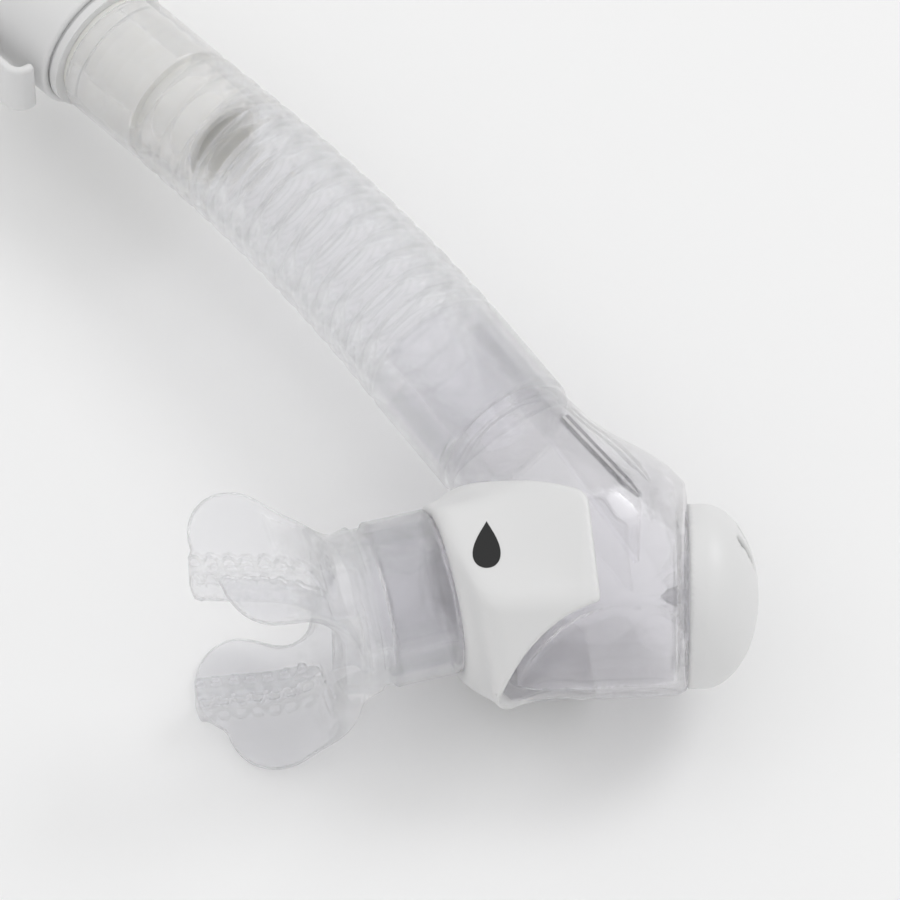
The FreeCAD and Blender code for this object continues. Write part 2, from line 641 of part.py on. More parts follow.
def make_float_arm():
    """Rocker: the float pushes one end up and the pad at the other end shuts the nozzle."""
    half = PIN_LENGTH / 2 - EAR_T - 0.4
    barrel = Part.makeCylinder(BARREL_R, 2 * half, V(PIVOT_H, PIVOT_AT, -half), UP)
    x0 = PAD_X + PAD_T
    plate = rod(PAD_R - 0.8, x0, x0 + ARM_T, NOZZLE_AT)
    bridge = block(x0, x0 + ARM_T, NOZZLE_AT, PIVOT_AT, -ARM_HALF, ARM_HALF)
    shelf = block(FLOAT_X - ARM_T, FLOAT_X, PIVOT_AT - 1.0, FLOAT_AT + 3.0, -ARM_HALF, ARM_HALF)
    web = block(PIVOT_H, FLOAT_X, PIVOT_AT - 1.0, PIVOT_AT + 1.2, -ARM_HALF, ARM_HALF)
    arm = fuse([barrel, tipped(plate), tipped(bridge), shelf, web])
    bore = Part.makeCylinder(PIN_R + RUNNING, PIN_LENGTH, V(PIVOT_H, PIVOT_AT, -PIN_LENGTH / 2), UP)
    return top_placed(arm.cut(bore))


def make_valve_pad():
    return top_placed(tipped(rod(PAD_R, PAD_X, PAD_X + PAD_T, NOZZLE_AT)))


def make_float_shell():
    """Sealed hollow float, without its lid."""
    end = FLOAT_X + FLOAT_LENGTH
    hollow = rod(FLOAT_R - FLOAT_WALL, FLOAT_X + FLOAT_WALL, end + 1, FLOAT_AT)
    return top_placed(rod(FLOAT_R, FLOAT_X, end, FLOAT_AT).cut(hollow))


def make_float_lid():
    end = FLOAT_X + FLOAT_LENGTH
    plug = rod(FLOAT_R - FLOAT_WALL - RUNNING, end - FLOAT_PLUG, end, FLOAT_AT)
    return top_placed(plug.fuse(rod(FLOAT_R, end, end + FLOAT_LID_T, FLOAT_AT)))


PARTS = {
    "mouthpiece": make_mouthpiece,
    "chamber_shell": make_chamber_shell,
    "body_cover": make_body_cover,
    "chamber_divider": make_chamber_divider,
    "purge_seat": make_purge_seat,
    "purge_seal": make_purge_seal,
    "purge_flap": make_purge_flap,
    "purge_cover": make_purge_cover,
    "flexible_hose": make_flexible_hose,
    "upper_tube": make_upper_tube,
    "keeper_sleeve": make_keeper_sleeve,
    "strap_clip": make_strap_clip,
    "top_base": make_top_base,
    "top_seal": make_top_seal,
    "top_cap": make_top_cap,
    "cap_screws": make_cap_screws,
    "float_pin": make_float_pin,
    "float_arm": make_float_arm,
    "valve_pad": make_valve_pad,
    "float_shell": make_float_shell,
    "float_lid": make_float_lid,
}


def build_shapes():
    shapes = {}
    for name, make in PARTS.items():
        shapes[name] = make()
        shapes[name].rotate(ORIGIN, UP, -BEND_ANGLE)
    return shapes


def footprint_shift(shapes):
    """Move from the crossing of the axes to the middle of the footprint."""
    box = FreeCAD.BoundBox()
    for shape in shapes.values():
        box.add(shape.optimalBoundingBox(False))
    return V(-(box.XMin + box.XMax) / 2, -(box.YMin + box.YMax) / 2, -box.ZMin)


def main():
    os.makedirs("parts", exist_ok=True)
    shapes = build_shapes()
    shift = footprint_shift(shapes)
    print("crossing of the axes at %.4f %.4f %.4f" % (shift.x, shift.y, shift.z))
    for name, shape in shapes.items():
        shape.translate(shift)
        shape.exportStep("parts/" + name + ".step")
        low = shape.optimalBoundingBox(False).ZMin
        print("%-16s solids %d valid %s volume %8.1f low %6.2f" % (
            name, len(shape.Solids), shape.isValid(), shape.Volume, low))


if __name__ == "__main__":
    main()
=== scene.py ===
import json
import math

import bpy
import numpy as np
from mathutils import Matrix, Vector


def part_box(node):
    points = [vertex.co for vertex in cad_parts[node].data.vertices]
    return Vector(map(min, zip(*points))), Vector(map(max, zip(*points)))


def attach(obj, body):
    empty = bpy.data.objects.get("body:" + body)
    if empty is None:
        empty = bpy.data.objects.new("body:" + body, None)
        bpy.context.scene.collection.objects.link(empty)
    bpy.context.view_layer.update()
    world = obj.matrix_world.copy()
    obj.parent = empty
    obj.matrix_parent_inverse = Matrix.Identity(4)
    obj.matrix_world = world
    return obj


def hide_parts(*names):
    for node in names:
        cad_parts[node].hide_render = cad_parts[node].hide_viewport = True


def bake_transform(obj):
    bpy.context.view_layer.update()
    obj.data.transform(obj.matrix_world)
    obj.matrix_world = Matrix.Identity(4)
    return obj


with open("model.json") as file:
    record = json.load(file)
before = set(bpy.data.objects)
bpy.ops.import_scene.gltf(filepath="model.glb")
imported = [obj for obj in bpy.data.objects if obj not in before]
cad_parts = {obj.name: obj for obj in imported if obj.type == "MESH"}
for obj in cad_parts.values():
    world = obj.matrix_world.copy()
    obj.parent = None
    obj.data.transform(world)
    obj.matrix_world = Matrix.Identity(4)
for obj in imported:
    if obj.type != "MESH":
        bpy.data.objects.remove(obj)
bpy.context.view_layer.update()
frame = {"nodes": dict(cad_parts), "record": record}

bl_info = {
    "name": "Diving snorkel",
    "version": (1, 0, 0),
    "blender": (4, 5, 0),
    "location": "3D View > Sidebar > Snorkel",
    "description": "Builds the visible pieces of a diving snorkel around its CAD frame",
    "category": "Add Mesh",
}

MM = 0.001


def record_joint(name):
    return next(j for j in frame["record"]["behaviour"]["joints"] if j["name"] == name)


# The chamber's own axes: origin where the hose's axis crosses the mouthpiece's, X along
# the hose, Y to the mouth side and Z up.  The pieces are shaped in millimetres on them.
SWIVEL = record_joint("hose_swivel")
HUB = np.array(SWIVEL["pos_m"])
X_AXIS = np.array(SWIVEL["axis"])
Y_AXIS = np.cross([0.0, 0.0, 1.0], X_AXIS)
AXES = np.array([X_AXIS, Y_AXIS, [0.0, 0.0, 1.0]])
BEND_ANGLE = math.atan2(-X_AXIS[1], X_AXIS[0])

# chamber, mm
HUB_R = 19.8
NECK_ROOT_R = 18.2
NECK_TOP_R = 14.6
NECK_TOP = 34.0
SPIGOT_R = 13.3
SPIGOT_ROOT = 28.0
SPIGOT_END = 60.0
PORT_ANGLE = math.radians(71.5)
PORT_SHOULDER_R = 15.3
PORT_SHOULDER = 32.0
PORT_R = 14.5
PORT_ROOT = 24.0
PORT_END = 46.0
PORT_BOSS_R = 4.0
PORT_BOSS_AT = 40.5
PURGE_ANGLE = math.radians(236.0)
PURGE_SEAT = (-19.5, -10.4, 0.0)
PURGE_R = 18.3
PURGE_RIM_R = 16.4
PURGE_BORE_R = 14.0
PURGE_SKIRT = 3.0
PURGE_DEPTH = 24.0
PURGE_WALL = 1.7
VENTS_AT = 10.6         # out from the valve's axis
VENT_HALF_LONG = 3.4
VENT_HALF_WIDE = 0.9
VENT_SPACING = math.radians(24.0)
KEEL_START = (-20.0, 36.5, 0.0)
KEEL_END = (-39.0, 5.5, 0.0)
KEEL_SLOPE = math.radians(53.0)
KEEL_UNDER_SLOPE = math.radians(44.0)
SUMP_HALF = 17.4
SUMP_HUB_AT = (4.0, 10.0, 0.0)
WINDOW_HALF_WIDTH = 17.2
WINDOW_HEIGHT = 19.6
WINDOW_SQUARENESS = 2.3
WINDOW_SCALE = 16.0     # turns the oval's share of its size into millimetres
WINDOW_LEAN = 0.33      # sideways lean of each window's oval, per millimetre of height
WINDOW_SINK = 0.9
COVER_END = 33.0
COVER_EDGE_AT = (6.5, 0.5, 0.0)
COVER_EDGE_ANGLE = math.radians(62.0)
COVER_NECK_AT = (1.6, 4.7, 0.0)
COVER_NECK_ANGLE = math.radians(122.7)
GAP = 0.15

# mouthpiece, mm along its axis, across it and up
SLEEVE_R = 16.6
SLEEVE_START = 33.2
SLEEVE_END = 48.0
NECK_START = 45.0
NECK_END = 57.0
BAND_AT = 47.6
BAND_HALF = 1.6
LIP_START = 55.6
LIP_ARC = 15.9
LIP_CENTRE = 71.5
WING_OUT = 25.2
WING_FLARE = 0.12       # outwards, per millimetre along the axis
LOBES = ((73.3, 5.4), (69.5, -4.8))
LOBE_LONG = 9.3
LOBE_DEEP = 11.2
PLATE_HALF = 1.05
WEB_HALF = 12.6
WEB_END = 66.0
TAB_START = 59.0
TAB_END = 83.5
TAB_HALF = 2.2
TAB_DEPTH = 10.5
TAB_TILT = 0.235        # the bite plane rises by this much per millimetre
NUB_PITCH = 3.3
NUB_HALF = 0.95
NUB_ROWS = (2.6, 8.0)   # inwards from the wing
BORE_R = 12.5
SLOT_HALF = 6.5
SLOT_R = 6.8
SLOT_START = 50.0

# hose, mm along its centreline
BEND_START = 62.0
BEND_END = 130.0
HOSE_START = 34.15
RIBS_START = 60.15
RIB_PITCH = 5.85
RIBS = 14
RIBS_END = RIBS_START + RIBS * RIB_PITCH
HOSE_END = RIBS_END + 22.0
TUBE_START = RIBS_END - 12.0
TUBE_R = 12.4
BARB_ROOM_R = 12.9
COLLAR_STEP = 14.8      # from the tube's end to its full size
HOSE_EDGE_R = 1.0
GROOVE_WIDTH = 0.95
FOLD_WIDTH = 1.3        # the same groove as felt on the bore's side
FIRST_GROOVE = 0.65

# strap clip, mm
CLIP_HALF_WALL = 0.95
CLIP_INSET = 1.0        # from the clip's box to the middle of its wall
CLIP_TURN = 3.2
CLIP_HOOK_HALF = 6.5

# printed drop, and the divider's edge with its painted shade and painted highlight strips, mm
DROP_HEIGHT = 10.5
DROP_TIP = (0.827, -0.562, 0.0)
DROP_AT = (2.9, 26.0, 0.0)
DROP_RINGS = (0.12, 0.4, 0.7, 0.88, 1.0)
DIVIDER_EDGE = ((1.2, 11.2), (5.0, 10.7), (15.0, 9.5), (27.4, 8.0))
DIVIDER_AT = -9.4
DIVIDER_DEPTH = 0.5

# studio, metres and degrees
FLOOR_HALF = 6.0
SOFTBOXES = (           # name, place from the chamber, size, power in watts
    ("key_softbox", (-0.2, -1.3, 1.5), 0.9, 7.0),
    ("fill_softbox", (0.9, 0.9, 1.6), 1.2, 1.5),
)
SKY = {"From Min": -0.1, "From Max": 0.75, "To Min": 0.55, "To Max": 0.9}
CAMERA_TURN = -43.64
CAMERA_TILT = 53.96
CAMERA_LENS = 288.8     # mm
CAMERA_DISTANCE = 1.435
CAMERA_LEFT = 0.0303
CAMERA_UP = 0.0206


# ---------------------------------------------------------------- settings
class SnorkelSizes(bpy.types.PropertyGroup):
    hose_radius: bpy.props.FloatProperty(
        name="Hose radius", description="Outside of the hose's lower collar",
        default=0.0155, unit="LENGTH")
    upper_radius: bpy.props.FloatProperty(
        name="Upper collar radius", description="Outside of the hose's upper collar",
        default=0.0139, unit="LENGTH")
    rib_depth: bpy.props.FloatProperty(
        name="Groove depth", description="Depth of the hose's outer grooves",
        default=0.0009, unit="LENGTH")
    wall: bpy.props.FloatProperty(
        name="Chamber wall", description="Wall of the clear chamber", default=0.002, unit="LENGTH")
    cover_wall: bpy.props.FloatProperty(
        name="Cover wall", description="Wall of the white body cover", default=0.0018, unit="LENGTH")
    purge_height: bpy.props.FloatProperty(
        name="Purge cap height", description="From the valve's seat to the top of the dome",
        default=0.0112, unit="LENGTH")


def colour_property(name, description, default):
    return bpy.props.StringProperty(name=name, description=description, default=default)


class SnorkelColours(bpy.types.PropertyGroup):
    silicone: colour_property("Silicone", "Clear silicone of hose and mouthpiece, sRGB hex", "F4F4F7")
    clear: colour_property("Polycarbonate", "Clear chamber, sRGB hex", "F7F5FC")
    white: colour_property("White", "White mouldings, sRGB hex", "DFDFDF")
    print_black: colour_property("Print", "Printed mark, sRGB hex", "0A0A0B")
    floor: colour_property("Floor", "Studio floor, sRGB hex", "F3F3F3")


# ---------------------------------------------------------------- shapes as distance fields
def unit(vector):
    vector = np.asarray(vector, float)
    return vector / np.linalg.norm(vector)


def in_plane(angle):
    return np.array([math.cos(angle), math.sin(angle), 0.0])


def joined(a, b, radius):
    """Smooth union with a fillet of about that radius."""
    h = np.clip(0.5 + 0.5 * (b - a) / radius, 0.0, 1.0)
    return b + (a - b) * h - radius * h * (1.0 - h)


def common(a, b, radius):
    """Smooth intersection, which rounds the edge."""
    return -joined(-a, -b, radius)


def round_bar(p, start, axis, length, radius, end_radius=None, edge=0.5, tail=0.0):
    """A cylinder or cone from a point along an axis, with a tapered tail before the start."""
    along = (p - np.asarray(start)) @ axis
    out = np.linalg.norm(p - np.asarray(start) - along[:, None] * axis, axis=1)
    end_radius = radius if end_radius is None else end_radius
    taper = (end_radius - radius) * np.clip(along / length, 0.0, 1.0) + 0.6 * np.minimum(along, 0.0)
    return common(out - radius - taper, np.maximum(-along - tail, along - length), edge)


def window_place(p):
    """Sideways and upward place on the nearer window, and the distance beyond its plane."""
    start, end = np.array(KEEL_START), np.array(KEEL_END)
    line = unit(end - start)
    out = np.array([line[1], -line[0], 0.0])
    q = p - (start + end) / 2
    z = np.abs(q[:, 2])
    level = q @ out
    slope = np.where(p[:, 2] > 0, KEEL_SLOPE, KEEL_UNDER_SLOPE)
    beyond = level * np.sin(slope) + z * np.cos(slope)
    height = z * np.sin(slope) - level * np.cos(slope)
    sideways = q @ line - WINDOW_LEAN * height
    return sideways, height, beyond


def window_oval(p, grow):
    """Distance from the rim of the window's half oval, negative inside."""
    sideways, height, _ = window_place(p)
    wide, tall = WINDOW_HALF_WIDTH + grow, WINDOW_HEIGHT + grow
    across = np.abs(sideways / wide) ** WINDOW_SQUARENESS
    upward = np.abs(np.maximum(height, 0.0) / tall) ** WINDOW_SQUARENESS
    return ((across + upward) ** (1 / WINDOW_SQUARENESS) - 1.0) * WINDOW_SCALE


def chamber_form(p):
    """The chamber's outside, as one flowing body."""
    origin = np.zeros(3)
    hub = np.linalg.norm(p, axis=1) - HUB_R
    port = round_bar(p, origin, in_plane(PORT_ANGLE), PORT_SHOULDER, HUB_R,
                     PORT_SHOULDER_R, tail=12.0)
    neck = round_bar(p, origin, np.array([1.0, 0.0, 0.0]), NECK_TOP, NECK_ROOT_R,
                     NECK_TOP_R, tail=12.0)
    purge_axis = in_plane(PURGE_ANGLE)
    purge_start = np.array(PURGE_SEAT) - purge_axis * PURGE_DEPTH
    purge = round_bar(p, purge_start, purge_axis, PURGE_DEPTH, PURGE_R, edge=0.3, tail=10.0)
    start, end = np.array(KEEL_START), np.array(KEEL_END)
    _, _, beyond = window_place(p)
    mouth_side = (p - start) @ unit([0.30, 0.95, 0.0])
    purge_side = (p - end) @ unit([-0.62, -0.785, 0.0])
    hub_side = (p - np.array(SUMP_HUB_AT)) @ unit([0.88, -0.47, 0.0])
    height = np.abs(p[:, 2]) - SUMP_HALF
    sump = common(common(beyond, mouth_side, 5.0), common(height, hub_side, 6.0), 2.4)
    sump = common(sump, purge_side, 3.5)
    body = joined(joined(joined(hub, port, 6.0), neck, 10.0), sump, 8.0)
    body = joined(body, purge, 5.0)
    sink = np.clip(0.5 - window_oval(p, 0.0) / 1.6, 0.0, 1.0)
    sink = sink * sink * (3 - 2 * sink) * np.clip((beyond + 5.0) / 3.0, 0.0, 1.0)
    return body + WINDOW_SINK * sink


def purge_place(p):
    """Distance along the purge valve's axis from its seat, and out from that axis."""
    axis = in_plane(PURGE_ANGLE)
    q = p - np.array(PURGE_SEAT)
    along = q @ axis
    return along, np.linalg.norm(q - along[:, None] * axis, axis=1)


def port_place(p):
    """Distance along the mouthpiece port's axis, and out from that axis."""
    axis = in_plane(PORT_ANGLE)
    along = p @ axis
    return along, np.linalg.norm(p - along[:, None] * axis, axis=1)


def chamber_shell_field(p):
    """Clear chamber with its two spigots, open at the hose, the mouthpiece and the valve."""
    wall = bpy.context.scene.snorkel_sizes.wall / MM
    body = chamber_form(p)
    along, out = purge_place(p)
    room = common(body + wall, along + PURGE_SKIRT + wall, 1.0)
    solid = common(body, along, 0.3)
    solid = np.maximum(solid, -np.maximum(PURGE_RIM_R - out, -PURGE_SKIRT - GAP - along))
    m, r = port_place(p)
    port_axis = in_plane(PORT_ANGLE)
    port = round_bar(p, port_axis * PORT_ROOT, port_axis, PORT_END - PORT_ROOT, PORT_R)
    neck_r = np.linalg.norm(p[:, 1:], axis=1)
    spigot = round_bar(p, (SPIGOT_ROOT, 0.0, 0.0), np.array([1.0, 0.0, 0.0]),
                       SPIGOT_END - SPIGOT_ROOT, SPIGOT_R)
    boss_at = port_axis * PORT_BOSS_AT
    boss = round_bar(p, boss_at, np.array([0.0, 0.0, 1.0]), PORT_R + 0.35, PORT_BOSS_R,
                     edge=0.2)
    solid = joined(joined(solid, port, 0.8), spigot, 0.8)
    solid = joined(solid, boss, 0.3)
    tube_bore = np.maximum(neck_r - SPIGOT_R + wall, -p[:, 0])
    port_bore = np.maximum(r - PORT_R + wall, -m)
    valve_bore = np.maximum(out - PURGE_BORE_R, -along - PURGE_DEPTH / 2)
    room = np.minimum(np.minimum(room, tube_bore), np.minimum(port_bore, valve_bore))
    return common(solid, -room, 0.4)


def body_cover_field(p):
    """White cover over the mouth side, cut back round the windows."""
    wall = bpy.context.scene.snorkel_sizes.cover_wall / MM
    body = chamber_form(p)
    skin = np.abs(body - GAP - wall / 2) - wall / 2
    edge = (np.array(COVER_EDGE_AT) - p) @ in_plane(COVER_EDGE_ANGLE)
    m, r = port_place(p)
    neck_side = (np.array(COVER_NECK_AT) - p) @ in_plane(COVER_NECK_ANGLE)
    keep = common(common(edge, neck_side, 2.5), m - COVER_END, 0.5)
    keep = common(keep, PORT_SHOULDER_R + GAP - r, 0.3)
    _, _, beyond = window_place(p)
    opening = np.maximum(window_oval(p, 3.0), -beyond - 9.0)
    keep = common(keep, -opening, 0.8)
    purge_along, _ = purge_place(p)
    keep = common(keep, purge_along + 8.0, 0.8)
    return common(skin, keep, 0.7)


def purge_cap_field(p):
    """White domed cap over the valve, with its fan of vent slits."""
    height = bpy.context.scene.snorkel_sizes.purge_height / MM
    along, out = purge_place(p)

    def dome(radius, rise):
        reach = np.sqrt((out / radius) ** 2 + (np.maximum(along, 0.0) / rise) ** 2)
        return (reach - 1.0) * min(radius, rise) * 1.2

    shell = np.maximum(dome(PURGE_R, height), -dome(PURGE_R - PURGE_WALL, height - PURGE_WALL))
    inner = np.maximum(out - PURGE_RIM_R - GAP, along)
    shell = np.maximum(shell, -inner)
    shell = common(shell, -along - PURGE_SKIRT, 0.4)
    axis = in_plane(PURGE_ANGLE)
    side = np.cross([0.0, 0.0, 1.0], axis)
    turn = np.arctan2(p[:, 2], (p - np.array(PURGE_SEAT)) @ side)
    vents = np.full(len(p), 50.0)
    for k in range(-3, 4):
        spread = np.abs(turn - VENT_SPACING * k) * out
        slit = np.maximum(np.abs(out - VENTS_AT) - VENT_HALF_LONG, spread - VENT_HALF_WIDE)
        vents = np.minimum(vents, slit)
    vents = np.maximum(vents, 1.5 - along)
    return common(shell, -vents, 0.5)


def mouth_place(p):
    """Along the mouthpiece's axis, across it towards the hose, and up."""
    axis = in_plane(PORT_ANGLE)
    across = np.array([axis[1], -axis[0], 0.0])
    return p @ axis, p @ across, p[:, 2]


def arch(m, w):
    """Distance from the line of the lip and wings, a U that opens along the axis."""
    w = np.abs(w)
    corner = WING_OUT - LIP_ARC
    bottom = np.abs(m - LIP_START)
    leg = np.abs(w - WING_OUT - WING_FLARE * np.maximum(m - LIP_CENTRE, 0.0))
    bend = np.abs(np.hypot(m - LIP_CENTRE, w - corner) - LIP_ARC)
    out = np.where(m > LIP_CENTRE, leg, bend)
    return np.where((w < corner) & (m < LIP_CENTRE), bottom, out)


def arch_half_width(m):
    """Half the distance between the wings at a place along the axis."""
    deep = np.clip(LIP_CENTRE - m, 0.0, LIP_ARC)
    flare = WING_FLARE * np.maximum(m - LIP_CENTRE, 0.0)
    return WING_OUT - LIP_ARC + np.sqrt(LIP_ARC ** 2 - deep ** 2) + flare


def mouthpiece_field(p):
    """Silicone mouthpiece with its sleeve, lip, lobed wings and studded bite tabs."""
    m, a, w = mouth_place(p)
    r = np.hypot(a, w)
    sleeve = common(r - SLEEVE_R, np.maximum(SLEEVE_START - m, m - SLEEVE_END), 0.5)
    grow = np.clip((m - SLEEVE_END) / 9.0, 0.0, 1.0) ** 1.6
    half_a = SLEEVE_R - 2.4 * grow
    half_w = SLEEVE_R + 6.6 * grow
    tilted = a - TAB_TILT * (m - LIP_CENTRE)
    leaning = a - grow * (a - tilted) * 0.8
    neck = (np.sqrt((leaning / half_a) ** 2 + (w / half_w) ** 2) - 1.0) * half_a
    neck = common(neck, np.maximum(NECK_START - m, m - NECK_END), 0.5)
    plate = arch(m, w) - PLATE_HALF
    lobes = [(np.hypot((m - at) / LOBE_LONG, (a - off) / LOBE_DEEP) - 1.0) * LOBE_LONG
             for at, off in LOBES]
    lobes = joined(lobes[0], lobes[1], 1.5)
    web = np.maximum(np.abs(tilted + 0.5) - WEB_HALF, m - WEB_END)
    lip = common(plate, joined(lobes, web, 4.0), 0.9)
    body = joined(joined(sleeve, neck, 0.3), lip, 3.2)
    groove = np.maximum(np.abs(m - BAND_AT) - BAND_HALF, SLEEVE_R - 0.8 - r)
    body = common(body, -groove, 0.3)
    width = arch_half_width(m)
    level = a - TAB_TILT * (m - 76.0)
    inward = width - np.abs(w)
    tab = common(np.abs(level) - TAB_HALF,
                 np.abs(inward - TAB_DEPTH / 2) - TAB_DEPTH / 2, 1.0)
    tab = common(tab, np.maximum(TAB_START - m, m - TAB_END), 1.0)
    row = (m - TAB_START + NUB_PITCH / 2) % NUB_PITCH - NUB_PITCH / 2
    nub = np.maximum(np.abs(row) - NUB_HALF, np.abs(np.abs(level) - TAB_HALF - 0.3) - 0.6)
    nub = np.maximum(nub, np.minimum(*(np.abs(inward - at) - 1.0 for at in NUB_ROWS)))
    nub = np.maximum(nub, np.maximum(TAB_START + 1.5 - m, m - TAB_END + 0.6))
    body = joined(joined(body, tab, 1.2), nub, 0.5)
    spigot = np.maximum(r - PORT_R - 0.05, m - PORT_END - 0.2)
    bore = np.maximum(r - BORE_R, m - 52.0)
    slot_shape = np.hypot(np.maximum(np.abs(w) - SLOT_HALF, 0.0), a) - SLOT_R
    slot_bore = np.maximum(slot_shape, SLOT_START - m)
    hollow = joined(np.minimum(spigot, bore), slot_bore, 1.5)
    hollow = np.minimum(hollow, slot_shape + np.maximum(SLOT_START - m, 0.0))
    return common(body, -hollow, 0.6)


def strap_clip_field(p):
    """Clip ring with a rounded hook beside the tube that the mask strap is pushed into."""
    low, high = [np.array(c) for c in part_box("strap_clip")]
    q = to_row(p) / MM
    x0, x1 = low[0] / MM, high[0] / MM
    tube_y, tube_z = tube_axis()
    y, z = q[:, 1] - tube_y, q[:, 2] - tube_z
    outer = -(low[1] / MM - tube_y)
    band = np.abs(np.hypot(y, z) - outer + CLIP_HALF_WALL) - CLIP_HALF_WALL
    band = common(band, np.maximum(x0 - q[:, 0], q[:, 0] - x1), 0.7)
    reach = high[1] / MM - tube_y - CLIP_INSET
    sides = np.maximum(x0 + CLIP_INSET - q[:, 0], q[:, 0] - x1 + CLIP_INSET)
    front = np.abs(y - reach)
    near_x, far_x = x0 + CLIP_INSET + CLIP_TURN, x1 - CLIP_INSET - CLIP_TURN
    near = np.hypot(q[:, 0] - near_x, y - (reach - CLIP_TURN)) - CLIP_TURN
    far = np.hypot(q[:, 0] - far_x, y - (reach - CLIP_TURN)) - CLIP_TURN
    in_corner = y > reach - CLIP_TURN
    line = np.where(in_corner & (q[:, 0] < near_x), np.abs(near), front)
    line = np.where(in_corner & (q[:, 0] > far_x), np.abs(far), line)
    lower_half = q[:, 0] < (x0 + x1) / 2
    ends = np.where(lower_half, np.abs(q[:, 0] - x0 - CLIP_INSET),
                    np.abs(q[:, 0] - x1 + CLIP_INSET))
    line = np.where(in_corner, line, ends)
    tip = np.where(lower_half, outer + 1.8 - y, outer - 1.0 - y)
    hook = common(line - CLIP_HALF_WALL, tip, 0.8)
    hook = common(hook, np.maximum(np.abs(z) - CLIP_HOOK_HALF, sides - 2.0), 0.8)
    return joined(band, hook, 0.8)


# ---------------------------------------------------------------- meshes
def to_row(points):
    """From the chamber's axes in millimetres to the frame's in metres."""
    return HUB + points @ AXES * MM


def from_row(points):
    return (points - HUB) @ AXES.T / MM


def tube_axis():
    """Height and sideways place of the rigid tube's axis, mm."""
    low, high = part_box("upper_tube")
    return (low[1] + high[1]) / 2 / MM, (low[2] + high[2]) / 2 / MM


def slope_of(field, points, step=0.05):
    """The field's slope at each point, from differences a short step to either side."""
    gradient = np.empty_like(points)
    for k in range(3):
        offset = np.zeros(3)
        offset[k] = step
        gradient[:, k] = (field(points + offset) - field(points - offset)) / (2 * step)
    return gradient


def settle(field, points, steps=4):
    """Move points onto the field's surface."""
    for _ in range(steps):
        gradient = slope_of(field, points)
        size = np.maximum((gradient ** 2).sum(axis=1), 0.05)
        move = -(field(points) / size)[:, None] * gradient
        points = points + np.clip(move, -0.4, 0.4)
    return points


def net(field, low, high, step):
    """Vertices and quads of the surface where the field is zero."""
    axes = [np.arange(low[k], high[k] + step, step) for k in range(3)]
    grid = np.stack(np.meshgrid(*axes, indexing="ij"), axis=-1)
    shape = grid.shape[:3]
    parts = np.array_split(grid.reshape(-1, 3), 12)
    values = np.concatenate([field(part) for part in parts]).reshape(shape)
    inside = values < 0
    cells = tuple(n - 1 for n in shape)
    total = np.zeros(cells + (3,))
    count = np.zeros(cells)
    corners = [(i, j, k) for i in (0, 1) for j in (0, 1) for k in (0, 1)]
    edges = [(a, b) for a in corners for b in corners
             if sum(b) - sum(a) == 1 and sum(abs(x - y) for x, y in zip(a, b)) == 1]

    def corner(array, c):
        return array[c[0]:c[0] + cells[0], c[1]:c[1] + cells[1], c[2]:c[2] + cells[2]]

    for a, b in edges:
        va, vb = corner(values, a), corner(values, b)
        cross = corner(inside, a) != corner(inside, b)
        t = np.where(cross, va / np.where(va == vb, 1.0, va - vb), 0.0)
        place = np.array(a) + t[..., None] * (np.array(b) - np.array(a))
        total += place * cross[..., None]
        count += cross
    used = count > 0
    index = np.full(cells, -1)
    index[used] = np.arange(used.sum())
    points = np.argwhere(used) + total[used] / count[used][:, None]
    points = np.array([a[0] for a in axes]) + points * step
    faces = []
    for axis in range(3):
        u, v = (axis + 1) % 3, (axis + 2) % 3
        first = [slice(1, -1)] * 3
        first[axis] = slice(0, -1)
        second = list(first)
        second[axis] = slice(1, None)
        a, b = inside[tuple(first)], inside[tuple(second)]
        where = np.argwhere(a != b)
        start = where.copy()
        start[:, u] += 1
        start[:, v] += 1
        rings = []
        for du, dv in ((-1, -1), (0, -1), (0, 0), (-1, 0)):
            cell = start.copy()
            cell[:, u] += du
            cell[:, v] += dv
            rings.append(index[cell[:, 0], cell[:, 1], cell[:, 2]])
        quads = np.stack(rings, axis=1)
        flip = ~a[tuple(where.T)]
        quads[flip] = quads[flip][:, ::-1]
        faces.append(quads)
    return points, np.concatenate(faces)


def mesh_piece(name, points, faces):
    """A smooth-shaded object from points in the chamber's axes."""
    mesh = bpy.data.meshes.new(name)
    mesh.from_pydata(to_row(points).tolist(), [], [list(map(int, face)) for face in faces])
    mesh.update()
    mesh.shade_smooth()
    piece = bpy.data.objects.new(name, mesh)
    bpy.context.scene.collection.objects.link(piece)
    return piece


def moulded_piece(name, field, node, step=0.75, margin=4.5):
    """The field's surface, in the room of the CAD node that it stands for."""
    low, high = [np.array(c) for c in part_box(node)]
    corners = np.array([[(low, high)[i][0], (low, high)[j][1], (low, high)[k][2]]
                        for i in (0, 1) for j in (0, 1) for k in (0, 1)])
    local = from_row(corners)
    points, faces = net(field, local.min(axis=0) - margin, local.max(axis=0) + margin, step)
    return mesh_piece(name, settle(field, points), faces)


def tube_mesh(name, rings, around=96):
    """A closed wall swept round the hose's centreline from (distance, radius) pairs."""
    turn = np.linspace(0.0, 2 * math.pi, around, endpoint=False)
    points = []
    for s, radius in rings:
        centre, angle = centreline(s)
        across = np.array([-math.sin(angle), math.cos(angle), 0.0])
        circle = np.outer(np.cos(turn), across) + np.outer(np.sin(turn), [0.0, 0.0, 1.0])
        points.append(centre + radius * circle)
    count = len(rings)
    k = np.arange(around)
    faces = []
    for i in range(count):
        a, b = i * around, (i + 1) % count * around
        faces.append(np.stack([a + k, a + (k + 1) % around, b + (k + 1) % around, b + k], axis=1))
    return mesh_piece(name, np.concatenate(points), np.concatenate(faces))


